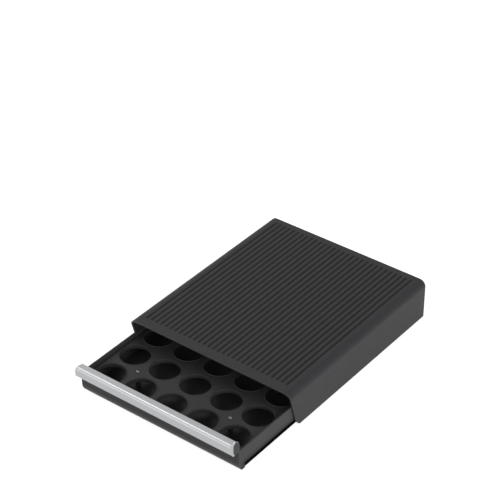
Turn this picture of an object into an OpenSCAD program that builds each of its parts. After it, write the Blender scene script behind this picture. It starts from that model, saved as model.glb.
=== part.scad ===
// Coffee pod drawer: a ribbed housing that a coffee machine stands on, and the drawer that slides in it.
// +X is to the right of someone facing the drawer, +Y runs towards the back, +Z is up.
// Origin: middle of the footprint on the worktop, with the drawer open by open_rest.

/* [Housing] */
// Width over the side walls
house_w = 271; // [262:1:340]
// Depth of the top, front edge to back edge
house_d = 321; // [312:1:400]
// Height from the bottom edge of the walls to the top
house_h = 61.4; // [60:0.2:90]
// Gap under the walls, made by the feet
foot_gap = 1; // [0.6:0.1:3]
// Thickness of the side walls
wall_t = 2.3; // [2:0.1:3.2]
// Thickness of the top
top_t = 2.5; // [2:0.1:3.5]
// Outer radius of the shoulder between top and wall
shoulder_r = 10.3; // [8:0.1:14]
// Slant of the walls' front edge, in degrees from upright
wall_rake = 16.2; // [8:0.1:20]
// Radius of the sweep at the foot of the walls' front edge
sweep_r = 21; // [16:0.5:26]
// Height at which that sweep starts
sweep_z = 12.2; // [9:0.1:14]

/* [Ribbed top] */
// Number of grooves across the top
groove_count = 30; // [10:2:30]
// Distance from groove to groove
groove_pitch = 8.16; // [6.5:0.01:8.2]
// Width of one groove
groove_w = 4.6; // [3:0.1:5.5]
// Depth of one groove
groove_depth = 0.7; // [0.4:0.1:1]
// Plain margin in front of the grooves
groove_front = 15.5; // [8:0.5:30]
// Plain margin behind the grooves
groove_rear = 9.5; // [6:0.5:30]
// Number of stiffening ribs under the top
under_ribs = 7; // [3:1:10]
// Thickness of those ribs
under_rib_t = 1.6; // [1.2:0.1:2.4]
// How far those ribs hang below the top
under_rib_h = 4; // [2:0.1:4.4]

/* [Rear and base] */
// Thickness of the rear panel
rear_t = 2.4; // [2:0.1:3]
// Thickness of the base panel
base_t = 1.2; // [1:0.1:2]
// Height of the base panel over the walls' bottom edge
base_lift = 0.4; // [0.4:0.1:1]
// How far the base panel's edges reach into the walls
base_key = 0.9; // [0.5:0.1:1.2]
// Radius of a foot
foot_r = 9; // [6:0.5:12]
// Distance of the feet from the walls' outer faces
foot_inset = 24; // [20:1:40]
// How far a rear bumper stands out
bumper_out = 1; // [0.6:0.1:2]
// Radius of a rear bumper
bumper_r = 5; // [3:0.5:8]

/* [Slide] */
// How far the drawer is open as it is drawn
open_rest = 114.2; // [20:0.2:160]
// Most that the drawer opens
open_most = 223; // [160:1:235]
// Gap between the drawer and each wall
side_gap = 0.35; // [0.3:0.05:1]
// Gap wherever the drawer and the housing pass each other
run_gap = 0.3; // [0.3:0.05:0.6]
// Width of a runner strip
runner_w = 10; // [9.5:0.5:16]
// Thickness of a runner strip
runner_t = 0.5; // [0.4:0.1:1]
// How far the glides stand out under the tray
glide_out = 0.5; // [0.4:0.1:1]
// Radius of a glide
glide_r = 4.5; // [3:0.5:4.5]
// Height of a keeper rail
keeper_h = 4; // [3:0.5:8]
// Thickness of a keeper rail
keeper_t = 2.6; // [2.3:0.1:3]

/* [Drawer] */
// Height of the tray's side walls over the walls' bottom edge
side_top = 36.7; // [34:0.1:40]
// Thickness of the tray's side walls
side_t = 2; // [1.6:0.1:2.4]
// Thickness of the tray's rear wall
tray_rear_t = 1.8; // [1.6:0.1:2.4]
// Thickness of the tray's floor
floor_t = 2.2; // [1.8:0.1:2.6]
// Radius along the tray's lower side edges
tray_r = 3; // [2.4:0.1:5]
// Height of the shallow step along the foot of each side wall
step_h = 8.6; // [5:0.1:12]
// Depth of that step
step_d = 0.8; // [0.3:0.1:0.8]
// Thickness of the drawer's front
front_t = 2.4; // [2:0.1:3]
// Radius of the curved toe of the drawer's front
toe_r = 20; // [18:0.5:26]
// Height of the middle of that radius
toe_z = 17; // [16:0.5:24]
// Length of a stop lug on the tray's side walls
lug_l = 6; // [4:0.5:10]

/* [Handle strip] */
// Depth of the strip, front face to back edge
strip_d = 15.2; // [14:0.1:20]
// Height of the strip's lower edge over the walls' bottom edge
strip_low = 36.2; // [34:0.1:40]
// Height of the corner between the strip's face and its top
strip_high = 50.5; // [48:0.1:52]
// How much the strip's top falls towards the back
strip_fall = 2.8; // [0:0.1:4]
// Radius of the strip's front upper edge
strip_r = 4; // [2:0.1:6]
// Radius of the strip's rear upper edge
strip_rear_r = 1.4; // [0.8:0.1:2]
// Thickness of the strip's metal
strip_t = 1; // [0.8:0.1:1.5]
// Overhang of the strip past the drawer's front, for the fingers
strip_reach = 11.2; // [9:0.1:12]
// Thickness of the black lip inside the strip
lip_t = 2.2; // [1.6:0.1:3]
// Width of the hem under the strip's lower edge
hem_w = 2.4; // [1.6:0.1:4]
// Height of the post at the strip's right end
post_top = 54.4; // [50:0.1:55]
// Radius over the front of the post
post_front_r = 4; // [1:0.1:4]
// Radius over the back of the post
post_r = 7.7; // [6:0.1:7.7]
// Depth of the post, front to back
post_d = 11.7; // [11.7:0.1:12.4]
// How far the post's front edge leans back at its foot
post_lean = 2; // [0:0.1:3]
// Thickness of the strip's rim around the post
rim_t = 0.8; // [0.6:0.1:1.2]
// How much of the post's edge the rim leaves free
rim_free = 0.4; // [0.3:0.1:1.4]
// How far back over the post the rim runs
rim_l = 6; // [4.5:0.1:9]
// Thickness of the strip's ear, inside the post
ear_t = 1.1; // [0.6:0.1:1.5]

/* [Pod wells] */
// Wells from side to side
well_cols = 5; // [2:1:5]
// Wells from front to back
well_rows = 6; // [2:1:6]
// Distance between wells from side to side
well_pitch_x = 52.3; // [44:0.1:52.3]
// Distance between wells from front to back
well_pitch_y = 50.9; // [44:0.1:50.9]
// Radius of a well
well_r = 21.5; // [18:0.1:21.5]
// Distance from the strip's face to the middle of the first row
well_first = 37.5; // [37.5:0.1:42]
// Height of the deck's upper face over the walls' bottom edge
deck_z = 30; // [20:0.5:32]
// Thickness of the deck
deck_t = 2; // [1.6:0.1:3]
// Gap around the deck
deck_gap = 0.3; // [0.2:0.1:0.5]
// Width of the ledges that carry the deck's edges
ledge_w = 2; // [1:0.1:3]

/* [Screws] */
// Radius of a screw's shank
screw_r = 1.4; // [1.2:0.1:1.6]
// Radius of a screw's head
head_r = 2.8; // [2.4:0.1:3.2]
// Radius of a screw boss
boss_r = 3.4; // [3:0.1:3.6]
// Gap around pins and shanks
pin_gap = 0.05; // [0.03:0.01:0.1]

/* [Hidden] */
$fn = 64;
face_setback = 0.3; // closed, the strip's face lies this far behind the top's front edge
eps = 0.01;
over = 1; // how far cutters run past a face

total_l = house_d + open_rest - face_setback;
back_y = total_l / 2;
front_y = back_y - house_d;
face_y = -total_l / 2;

low_z = foot_gap; // bottom edge of the walls
top_z = low_z + house_h;
ceiling_z = top_z - top_t;
in_w = house_w - 2 * wall_t;
in_r = shoulder_r - wall_t;
rear_in_y = back_y - rear_t;
sweep_y = front_y + (house_h - sweep_z) * tan(wall_rake) + sweep_r * cos(wall_rake);
sweep_mid_z = low_z + sweep_z + sweep_r * sin(wall_rake);
wall_toe_y = sweep_y - sqrt(pow(sweep_r, 2) - pow(sweep_mid_z - low_z, 2));

base_z = low_z + base_lift;
base_top = base_z + base_t;
base_w = in_w + 2 * base_key;
base_front = wall_toe_y + 1;
runner_top = base_top + runner_t;
tray_z = runner_top + run_gap + glide_out;
floor_z = tray_z + floor_t;

tray_w = in_w - 2 * side_gap;
tray_in_w = tray_w - 2 * side_t;
side_z = low_z + side_top;
panel_y = face_y + strip_reach;
panel_in_y = panel_y + front_t;
floor_y = panel_y + 12; // front edge of the tray's floor
tray_back = rear_in_y - bumper_out - run_gap - open_rest;
tray_in_back = tray_back - tray_rear_t;
toe_mid_z = low_z + toe_z;

strip_z = low_z + strip_low;
strip_top = low_z + strip_high;
strip_back = face_y + strip_d;
strip_leg_z = side_z + 0.4; // the strip's rear leg ends just over the tray's side walls
deck_top = low_z + deck_z;
deck_low = deck_top - deck_t;

keeper_z = side_z + run_gap;
keeper_front = front_y + strip_d + 1;
keeper_back = tray_back + open_rest - open_most - lug_l - run_gap;
keeper_pins = 3;

well_x = [for (i = [0 : well_cols - 1]) (i - (well_cols - 1) / 2) * well_pitch_x];
well_y = [for (i = [0 : well_rows - 1]) face_y + well_first + i * well_pitch_y];
boss_x = [for (i = [0 : well_cols - 2]) well_x[i] + well_pitch_x / 2];
outer_boss_x = [boss_x[0], boss_x[len(boss_x) - 1]];
deck_screw_y = [for (i = [0 : 2 : well_rows - 2]) well_y[i] + well_pitch_y / 2];
front_screw_y = panel_y + 16.5;
flange_t = 2;
front_boss_top = floor_z + 6.5;
glide_x = tray_w / 2 - 10;
glide_y = [floor_y + 14, (floor_y + tray_back) / 2, tray_back - 12];
foot_y = [wall_toe_y + 16, back_y - 20];
bumper_x = 60;
bumper_z = low_z + 20;
rear_screw_z = ceiling_z - 2.8;
rear_screw_l = 12;
rear_boss_r = 2.9;
tab_x = [-90, 0, 90];
tab_w = 24;
tab_t = 1.2;
post_back = face_y + rim_t + post_d;
rim_end = face_y + rim_t + rim_l;

charcoal = "#2d2d2f";
black = "#1c1c1e";
silver = "#b9bcbe";
steel = "#8d9093";
nylon = "#d9d8d2";
rubber = "#151515";

// ---- helpers ----

// An outline in X and Z, run along Y from y0 to y1
module along_y(y0, y1) {
    translate([0, y1, 0]) rotate([90, 0, 0]) linear_extrude(y1 - y0) children();
}

// An outline in Y and Z, run along X from x0 to x1
module along_x(x0, x1) {
    translate([x0, 0, 0]) rotate([90, 0, 90]) linear_extrude(x1 - x0) children();
}

// A box between two corners
module block(a, b) {
    translate(a) cube(b - a);
}

// A section with square lower corners and rounded upper ones
module arch(w, z0, z1, r) {
    translate([-w / 2, z0]) square([w, z1 - r - z0]);
    translate([-w / 2 + r, z0]) square([w - 2 * r, z1 - z0]);
    for (side = [-1, 1]) translate([side * (w / 2 - r), z1 - r]) circle(r);
}

// A section with rounded lower corners and square upper ones
module trough(w, z0, z1, r) {
    translate([-w / 2, z0 + r]) square([w, z1 - z0 - r]);
    translate([-w / 2 + r, z0]) square([w - 2 * r, z1 - z0]);
    for (side = [-1, 1]) translate([side * (w / 2 - r), z0 + r]) circle(r);
}

function unit(v) = v / norm(v);

// Outline whose corners are rounded; each corner is [y, z, radius]
function rounded(corners, steps = 8) = [
    for (i = [0 : len(corners) - 1])
        let (
            n = len(corners),
            here = [corners[i].x, corners[i].y],
            to_last = unit([corners[(i + n - 1) % n].x, corners[(i + n - 1) % n].y] - here),
            to_next = unit([corners[(i + 1) % n].x, corners[(i + 1) % n].y] - here),
            half = acos(to_last * to_next) / 2,
            r = corners[i][2],
            mid = here + unit(to_last + to_next) * r / sin(half),
            a0 = here + to_last * r / tan(half) - mid,
            a1 = here + to_next * r / tan(half) - mid
        )
        each (r == 0 ? [here] : [
            for (k = [0 : steps])
                let (turn = acos(min(1, max(-1, (a0 * a1) / (r * r)))))
                mid + (a0 * sin(turn * (1 - k / steps)) + a1 * sin(turn * k / steps)) / sin(turn)
        ])
];

// Everything behind the walls' slanted front edge
module wall_side() {
    line_y = front_y + (house_h - sweep_z) * tan(wall_rake);
    intersection() {
        union() {
            translate([sweep_y, sweep_mid_z]) circle(sweep_r);
            polygon([[front_y, top_z], [line_y, low_z + sweep_z], [sweep_y, sweep_mid_z], [sweep_y, low_z],
                [back_y, low_z], [back_y, top_z]]);
        }
        translate([front_y, low_z]) square([house_d, house_h]);
    }
}

// Everything behind the drawer front's face, moved in by inset, up to height z1
module behind_front(inset, z1) {
    y_mid = panel_y + toe_r;
    intersection() {
        union() {
            translate([y_mid, toe_mid_z]) circle(toe_r - inset);
            translate([panel_y + inset, toe_mid_z]) square([toe_r + eps, z1 - toe_mid_z]);
            translate([y_mid, tray_z]) square([tray_back - y_mid, z1 - tray_z]);
        }
        translate([panel_y, tray_z]) square([tray_back - panel_y, z1 - tray_z]);
    }
}

// What the housing's rounded shoulder takes from a square corner of the drawer on the right
module shoulder_waste() {
    r = in_r - run_gap;
    along_y(face_y - over, strip_back + over) translate([in_w / 2 - in_r, ceiling_z - in_r])
        polygon(concat([for (a = [0 : 10 : 90]) r * [cos(a), sin(a)]], [[0, r + over], [r + over, r + over],
            [r + over, 0]]));
}

// ---- housing ----

module groove_cutter() {
    r = (pow(groove_w, 2) / 4 + pow(groove_depth, 2)) / (2 * groove_depth);
    l = house_d - groove_front - groove_rear - groove_w;
    translate([0, front_y + groove_front + groove_w / 2 + l / 2, top_z + r - groove_depth])
        rotate([90, 0, 0])
            rotate_extrude() intersection() {
                union() {
                    translate([0, l / 2]) circle(r);
                    translate([0, -l / 2]) circle(r);
                    square([2 * r, l], center = true);
                }
                translate([0, -l]) square([2 * r, 2 * l]);
            }
}

module keeper_pin_at(i, side) {
    y = keeper_front + (keeper_back - keeper_front) * (i + 0.5) / keeper_pins;
    translate([side * in_w / 2, y, keeper_z + keeper_h / 2]) rotate([0, -90 * side, 0]) children();
}

module housing_cover() {
    rib_x = tray_in_w / 2 - 14;
    color(charcoal) difference() {
        union() {
            intersection() {
                along_y(front_y, back_y) difference() {
                    arch(house_w, low_z, top_z, shoulder_r);
                    arch(in_w, low_z - over, ceiling_z, in_r);
                }
                along_x(-house_w, house_w) wall_side();
            }
            for (i = [1 : under_ribs]) {
                y = front_y + i * house_d / (under_ribs + 1);
                block([-rib_x, y - under_rib_t / 2, ceiling_z - under_rib_h], [rib_x, y + under_rib_t / 2,
                    ceiling_z + eps]);
            }
            for (x = boss_x) translate([x, rear_in_y - pin_gap, rear_screw_z]) rotate([90, 0, 0])
                cylinder(r = rear_boss_r, h = rear_screw_l + 3);
            for (side = [-1, 1]) for (i = [0 : keeper_pins - 1]) keeper_pin_at(i, side)
                translate([0, 0, -eps]) cylinder(r = screw_r, h = keeper_t + eps);
        }
        for (i = [0 : groove_count - 1])
            translate([(i - (groove_count - 1) / 2) * groove_pitch, 0, 0]) groove_cutter();
        for (x = boss_x) translate([x, rear_in_y + over, rear_screw_z]) rotate([90, 0, 0])
            cylinder(r = screw_r + pin_gap, h = rear_screw_l + over);
        block([-base_w / 2 - pin_gap, wall_toe_y - over, base_z - pin_gap],
            [base_w / 2 + pin_gap, back_y + over, base_top + pin_gap]);
    }
}

module rear_panel() {
    color(charcoal) difference() {
        union() {
            along_y(rear_in_y, back_y)
                arch(in_w - 2 * pin_gap, base_top + pin_gap, ceiling_z - pin_gap, in_r - pin_gap);
            for (x = tab_x) block([x - tab_w / 2, rear_in_y, base_z], [x + tab_w / 2, rear_in_y + tab_t,
                base_top + over]);
        }
        for (x = boss_x) translate([x, back_y + eps, rear_screw_z]) rotate([90, 0, 0]) {
            cylinder(r1 = head_r + pin_gap, r2 = screw_r + 0.2, h = 1.6);
            cylinder(r = screw_r + 0.2, h = rear_t + over);
        }
        for (side = [-1, 1]) translate([side * bumper_x, rear_in_y - over, bumper_z]) rotate([-90, 0, 0])
            cylinder(r = 2 + pin_gap, h = over + 1.5);
    }
}

// A countersunk screw along +Z, its head's flat at z = 0
module flat_screw(l, head_h) {
    difference() {
        union() {
            cylinder(r1 = head_r, r2 = screw_r, h = head_h);
            translate([0, 0, head_h - eps]) cylinder(r = screw_r, h = l - head_h);
        }
        for (a = [0, 90]) rotate(a) translate([-head_r * 0.6, -0.3, -eps]) cube([head_r * 1.2, 0.6, 0.8]);
    }
}

module rear_panel_screws() {
    color(steel) for (x = boss_x) translate([x, back_y - 0.05, rear_screw_z]) rotate([90, 0, 0])
        flat_screw(rear_screw_l, 1.5);
}

module base_panel() {
    color(black) difference() {
        block([-base_w / 2, base_front, base_z], [base_w / 2, back_y, base_top]);
        for (x = tab_x) block([x - tab_w / 2 - pin_gap, rear_in_y - pin_gap, base_z - over],
            [x + tab_w / 2 + pin_gap, rear_in_y + tab_t + pin_gap, base_top + over]);
        for (y = foot_y) for (side = [-1, 1]) translate([side * (house_w / 2 - foot_inset), y, base_z - over])
            cylinder(r = 2.5 + pin_gap, h = base_t + 2 * over);
    }
}

module runner(side) {
    color(nylon) translate([side * glide_x, 0, 0])
        block([-runner_w / 2, base_front + 1, base_top], [runner_w / 2, rear_in_y - 4, runner_top]);
}

module left_runner() { runner(-1); }

module right_runner() { runner(1); }

module keeper_rail(side) {
    color(black) difference() {
        translate([side > 0 ? in_w / 2 - keeper_t : -in_w / 2, keeper_front, keeper_z])
            cube([keeper_t, keeper_back - keeper_front, keeper_h]);
        for (i = [0 : keeper_pins - 1]) keeper_pin_at(i, side)
            translate([0, 0, -over]) cylinder(r = screw_r + pin_gap, h = keeper_t + 2 * over);
    }
}

module left_keeper_rail() { keeper_rail(-1); }

module right_keeper_rail() { keeper_rail(1); }

module feet() {
    color(rubber) for (y = foot_y) for (side = [-1, 1])
        translate([side * (house_w / 2 - foot_inset), y, 0]) {
            cylinder(r = foot_r, h = base_z);
            translate([0, 0, base_z - eps]) cylinder(r = 2.5, h = base_t + eps);
        }
}

module rear_bumpers() {
    color(rubber) for (side = [-1, 1])
        translate([side * bumper_x, rear_in_y - bumper_out, bumper_z]) rotate([-90, 0, 0]) {
            cylinder(r = bumper_r, h = bumper_out);
            translate([0, 0, bumper_out - eps]) cylinder(r = 2, h = 1.4);
        }
}

// ---- drawer ----

// Side outline of the post at the strip's right end, grown by grow, its front edge leaning by lean
module post_outline(grow, lean) {
    front = face_y + rim_t - grow;
    top = low_z + post_top;
    front_mid = [face_y + rim_t + post_front_r, top - post_front_r];
    back_mid = [post_back - post_r, top - post_r];
    intersection() {
        union() {
            translate(front_mid) circle(post_front_r + grow);
            translate(back_mid) circle(post_r + grow);
            polygon([[front, front_mid.y], [front_mid.x, front_mid.y], [front_mid.x, top + grow],
                [back_mid.x, top + grow], back_mid, [post_back + grow, back_mid.y], [post_back + grow, strip_z],
                [front + lean, strip_z]]);
        }
        translate([front, strip_z]) square([strip_d, top + grow - strip_z]);
    }
}

// The square front end of a side wall, as deep as the toe of the drawer's front
module cheek(side) {
    x0 = side > 0 ? tray_in_w / 2 : -tray_w / 2;
    intersection() {
        along_x(x0, x0 + side_t) behind_front(0, side_z);
        block([x0 - over, panel_y - over, tray_z - over], [x0 + side_t + over, floor_y, side_z + over]);
    }
}

// What the step takes from the foot of a side wall
module step_waste(side) {
    x0 = side > 0 ? tray_w / 2 - step_d : -tray_w / 2 - over;
    block([x0, floor_y, tray_z - over], [x0 + step_d + over, tray_back + over, tray_z + step_h]);
}

module tray_lug(side) {
    x0 = side > 0 ? tray_in_w / 2 : -tray_w / 2;
    block([x0, tray_back - lug_l, side_z - eps], [x0 + side_t, tray_back, side_z + keeper_h]);
}

module drawer_tray() {
    color(black) difference() {
        union() {
            intersection() {
                along_y(panel_y, tray_back) difference() {
                    trough(tray_w, tray_z, side_z, tray_r);
                    trough(tray_in_w, floor_z, side_z + over, max(tray_r - side_t, 0.8));
                }
                along_x(-tray_w, tray_w) behind_front(0, side_z);
            }
            block([-tray_in_w / 2 - eps, tray_in_back, floor_z - eps], [tray_in_w / 2 + eps, tray_back, side_z]);
            along_x(tray_in_w / 2, tray_w / 2) post_outline(0, post_lean);
            for (side = [-1, 1]) {
                cheek(side);
                tray_lug(side);
                x0 = side > 0 ? tray_in_w / 2 - ledge_w : -tray_in_w / 2 - eps;
                block([x0, panel_in_y + 1, deck_low - 2], [x0 + ledge_w + eps, tray_in_back + eps, deck_low]);
            }
            for (x = outer_boss_x) for (y = deck_screw_y)
                translate([x, y, floor_z - eps]) cylinder(r = boss_r, h = deck_low - floor_z + eps);
        }
        shoulder_waste();
        for (side = [-1, 1]) step_waste(side);
        for (x = outer_boss_x) for (y = deck_screw_y)
            translate([x, y, floor_z + 4]) cylinder(r = screw_r + pin_gap, h = deck_low);
        block([-tray_in_w / 2, panel_y - over, tray_z - over], [tray_in_w / 2, floor_y, floor_z + over]);
        for (x = boss_x) translate([x, front_screw_y, tray_z - eps]) {
            cylinder(r1 = head_r + pin_gap, r2 = screw_r + 0.2, h = 1.6);
            cylinder(r = screw_r + 0.2, h = floor_t + over);
        }
        for (side = [-1, 1]) for (y = glide_y) translate([side * glide_x, y, tray_z - over]) {
            cylinder(r = glide_r + 0.1, h = over + 0.8);
            cylinder(r = 2 + pin_gap, h = floor_t + 2 * over);
        }
    }
}

// Outline of the strip's outside in Y and Z
module strip_outline(inset) {
    fall = strip_fall / strip_d;
    top = strip_top - inset * norm([1, fall]);
    polygon(rounded([
        [face_y + inset, strip_z - (inset > 0 ? over : 0), 0],
        [face_y + inset, top - inset * fall, max(strip_r - inset, 0.5)],
        [strip_back - inset, top - (strip_d - inset) * fall, max(strip_rear_r - inset, 0.3)],
        [strip_back - inset, strip_leg_z - (inset > 0 ? over : 0), 0],
        [panel_y - over, strip_leg_z - (inset > 0 ? over : 0), 0],
        [panel_y - over, strip_z - (inset > 0 ? over : 0), 0]
    ]));
}

module front_section() {
    // the panel and its curved toe
    difference() {
        behind_front(0, side_z);
        behind_front(front_t, side_z + over);
        translate([floor_y - pin_gap, 0]) square([tray_back - floor_y, side_z]);
    }
    // the toe's foot and the flange that lies on the tray's floor
    intersection() {
        behind_front(0, side_z);
        translate([panel_y, tray_z]) square([floor_y - pin_gap - panel_y, floor_t + flange_t]);
    }
    // the lip inside the strip
    lip_gap = strip_t + pin_gap;
    difference() {
        strip_outline(lip_gap);
        translate([face_y + lip_gap + lip_t, strip_z - 2 * over])
            square([panel_y - face_y - lip_gap - lip_t, strip_high]);
        translate([panel_in_y, side_z - 5]) square([strip_d, 5 + pin_gap + 0.4]);
        translate([face_y, strip_z - 2 * over]) square([strip_d, 2 * over + strip_t + pin_gap]);
    }
    intersection() {
        strip_outline(lip_gap);
        translate([0, -lip_t]) difference() {
            translate([face_y, strip_z]) square([strip_d, 3 * lip_t + 20]);
            strip_outline(lip_gap);
        }
        translate([face_y, strip_z + 2]) square([strip_d, 30]);
    }
    translate([panel_y, side_z - eps]) square([front_t, 2]);
}

module drawer_front() {
    half = tray_in_w / 2 - pin_gap;
    color(black) difference() {
        union() {
            along_x(-half, half) front_section();
            block([-half + tray_r, floor_y - 4, floor_z + pin_gap], [half - tray_r, floor_y + 9, floor_z + flange_t]);
            for (x = boss_x) translate([x, front_screw_y, floor_z + pin_gap])
                cylinder(r = boss_r, h = front_boss_top - floor_z);
        }
        for (x = boss_x) translate([x, front_screw_y, floor_z - over])
            cylinder(r = screw_r + pin_gap, h = 6.5);
    }
}

module front_screws() {
    color(steel) for (x = boss_x) translate([x, front_screw_y, tray_z + 0.05]) flat_screw(7, 1.5);
}

module handle_strip() {
    right = tray_w / 2;
    pocket_x = tray_in_w / 2 - pin_gap;
    color(silver) difference() {
        union() {
            along_x(-right, pocket_x) difference() {
                strip_outline(0);
                strip_outline(strip_t);
            }
            along_x(-right, pocket_x) translate([face_y, strip_z]) square([hem_w, strip_t]);
            along_x(pocket_x - ear_t, right - rim_free) difference() {
                post_outline(rim_t, 0);
                translate([panel_y - pin_gap, strip_z - over]) square([strip_d, strip_leg_z - strip_z + over]);
            }
        }
        along_x(pocket_x, right) post_outline(pin_gap, post_lean);
        // the rim ends over the post and leaves its back bare
        block([pocket_x, rim_end, strip_z - over], [right, strip_back + over, top_z]);
        along_x(-right - over, pocket_x - ear_t + eps) strip_outline(strip_t);
        along_x(pocket_x - ear_t - eps, pocket_x + eps) intersection() {
            strip_outline(strip_t);
            translate([face_y, strip_z - over]) square([strip_d, strip_high]);
        }
        shoulder_waste();
    }
}

module left_end_cap() {
    left = -tray_w / 2;
    color(black) along_x(left + 0.2, left + side_t - pin_gap) difference() {
        strip_outline(strip_t + pin_gap);
        translate([face_y, 0]) square([strip_d, strip_z + strip_t + pin_gap]);
        translate([panel_y - over, 0]) square([strip_d, strip_leg_z]);
    }
}

module pod_deck() {
    w = tray_in_w - 2 * deck_gap;
    color(black) difference() {
        block([-w / 2, panel_in_y + deck_gap, deck_low], [w / 2, tray_in_back - deck_gap, deck_top]);
        for (x = well_x) for (y = well_y) translate([x, y, deck_low - over])
            cylinder(r = well_r, h = deck_t + 2 * over, $fn = 96);
        for (x = outer_boss_x) for (y = deck_screw_y) translate([x, y, deck_low - over])
            cylinder(r = screw_r + 0.3, h = deck_t + 2 * over);
    }
}

// A round-headed screw pointing down, its head's underside at z = 0
module round_screw(l) {
    difference() {
        union() {
            rotate_extrude() intersection() {
                translate([0, 1.8 - 4]) circle(4);
                square([head_r, 1.8]);
            }
            translate([0, 0, -l]) cylinder(r = screw_r, h = l + eps);
        }
        for (a = [0, 90]) rotate(a) translate([-1.6, -0.35, 1]) cube([3.2, 0.7, 1]);
    }
}

module deck_screws() {
    color(steel) for (x = outer_boss_x) for (y = deck_screw_y) translate([x, y, deck_top + 0.02])
        round_screw(12);
}

module glides(side) {
    color(nylon) for (y = glide_y) translate([side * glide_x, y, tray_z - glide_out]) {
        cylinder(r = glide_r, h = glide_out + 0.75);
        cylinder(r = 2, h = glide_out + floor_t);
    }
}

module left_glides() { glides(-1); }

module right_glides() { glides(1); }

housing_cover();
rear_panel();
rear_panel_screws();
base_panel();
left_runner();
right_runner();
left_keeper_rail();
right_keeper_rail();
feet();
rear_bumpers();
drawer_tray();
drawer_front();
front_screws();
handle_strip();
left_end_cap();
pod_deck();
deck_screws();
left_glides();
right_glides();
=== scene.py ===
import math
import bmesh
import bpy
from mathutils import Matrix, Vector


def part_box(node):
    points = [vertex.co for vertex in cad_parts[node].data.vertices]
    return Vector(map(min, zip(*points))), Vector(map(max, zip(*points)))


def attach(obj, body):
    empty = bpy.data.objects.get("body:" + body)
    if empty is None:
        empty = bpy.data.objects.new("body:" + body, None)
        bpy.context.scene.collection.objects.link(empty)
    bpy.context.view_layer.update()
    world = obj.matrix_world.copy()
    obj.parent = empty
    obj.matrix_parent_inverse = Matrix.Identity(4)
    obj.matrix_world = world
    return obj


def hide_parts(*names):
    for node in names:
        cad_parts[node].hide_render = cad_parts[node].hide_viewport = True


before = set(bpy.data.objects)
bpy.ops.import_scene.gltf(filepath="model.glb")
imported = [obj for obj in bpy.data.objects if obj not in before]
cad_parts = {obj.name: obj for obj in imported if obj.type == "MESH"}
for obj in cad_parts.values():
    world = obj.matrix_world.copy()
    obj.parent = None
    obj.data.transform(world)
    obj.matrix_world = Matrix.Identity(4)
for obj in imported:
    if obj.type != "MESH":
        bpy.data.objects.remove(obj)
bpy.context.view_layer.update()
mm = 0.001
print("frame loaded")

scene = bpy.context.scene
scene.view_settings.view_transform = "Standard"

near = {  # distances in mm under which points or edges are taken as one
    "cadPoints": 0.002,
    "plane": 0.001,
    "loft": 0.001,
    "grown": 0.01,  # in what a node tree makes
    "rounded": 0.0005,
    "recess": 0.03,
    "deck": 0.005,
}


def feed(tree, socket, value):
    if isinstance(value, Wire):
        tree.links.new(value.socket, socket)
    else:
        socket.default_value = value


class Wire:
    # a value inside a node tree; + - * / and the rest add Math nodes

    def __init__(self, tree, socket):
        self.tree = tree
        self.socket = socket

    def math(self, kind, *others, clamp=False):
        node = self.tree.nodes.new("ShaderNodeMath")
        node.operation = kind
        node.use_clamp = clamp
        for socket, value in zip(node.inputs, (self, *others)):
            feed(self.tree, socket, value)
        return Wire(self.tree, node.outputs[0])

    def __add__(self, other):
        return self.math("ADD", other)

    __radd__ = __add__

    def __sub__(self, other):
        return self.math("SUBTRACT", other)

    def __rsub__(self, other):
        return (self * -1) + other

    def __mul__(self, other):
        return self.math("MULTIPLY", other)

    __rmul__ = __mul__

    def __truediv__(self, other):
        return self.math("DIVIDE", other)

    def clamped(self):
        return self.math("ADD", 0.0, clamp=True)


def addNode(tree, kind, inputs=None, **settings):
    node = tree.nodes.new(kind)
    for key, value in settings.items():
        setattr(node, key, value)
    for key, value in (inputs or {}).items():
        feed(tree, node.inputs[key], value)
    return node


def out(tree, node, key=0):
    return Wire(tree, node.outputs[key])


def xyz(tree, x, y, z):
    return out(tree, addNode(tree, "ShaderNodeCombineXYZ", {"X": x, "Y": y, "Z": z}))


def split(tree, vector):
    node = addNode(tree, "ShaderNodeSeparateXYZ", {0: vector})
    return [out(tree, node, axis) for axis in "XYZ"]


def pointPlaces(tree):
    return split(tree, out(tree, addNode(tree, "GeometryNodeInputPosition")))


def lineOf(tree, count, start, offset):
    line = addNode(tree, "GeometryNodeMeshLine", {"Count": count, "Start Location": start,
                                                  "Offset": offset})
    return out(tree, line)


def copiesOn(tree, points, item, turn=(0, 0, 0)):
    copies = addNode(tree, "GeometryNodeInstanceOnPoints", {"Points": points, "Instance": item,
                                                            "Rotation": turn})
    return out(tree, copies)


def newTree(name, inputs):
    tree = bpy.data.node_groups.new(name, "GeometryNodeTree")
    tree.interface.new_socket("Geometry", in_out="OUTPUT", socket_type="NodeSocketGeometry")
    kinds = {int: "NodeSocketInt", float: "NodeSocketFloat", bpy.types.Material: "NodeSocketMaterial",
             bpy.types.Object: "NodeSocketObject"}
    for label, value in inputs.items():
        kind = next(kinds[form] for form in kinds if isinstance(value, form))
        tree.interface.new_socket(label, in_out="INPUT", socket_type=kind)
    start = addNode(tree, "NodeGroupInput")
    return tree, {label: out(tree, start, label) for label in inputs}


def closeTree(tree, wires, geometry):
    # a geometry tree ends by making its copies real and giving them their material
    real = addNode(tree, "GeometryNodeRealizeInstances", {"Geometry": geometry})
    painted = addNode(tree, "GeometryNodeSetMaterial", {"Geometry": out(tree, real),
                                                        "Material": wires["Material"]})
    feed(tree, addNode(tree, "NodeGroupOutput").inputs[0], out(tree, painted))


def bake(piece):
    # what the modifiers make becomes the piece's own plain mesh
    bpy.context.view_layer.update()
    graph = bpy.context.evaluated_depsgraph_get()
    plain = bpy.data.meshes.new_from_object(piece.evaluated_get(graph), depsgraph=graph)
    piece.modifiers.clear()
    piece.data = plain
    return piece


def newPiece(name):
    piece = bpy.data.objects.new(name, bpy.data.meshes.new(name))
    scene.collection.objects.link(piece)
    return piece


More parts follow.
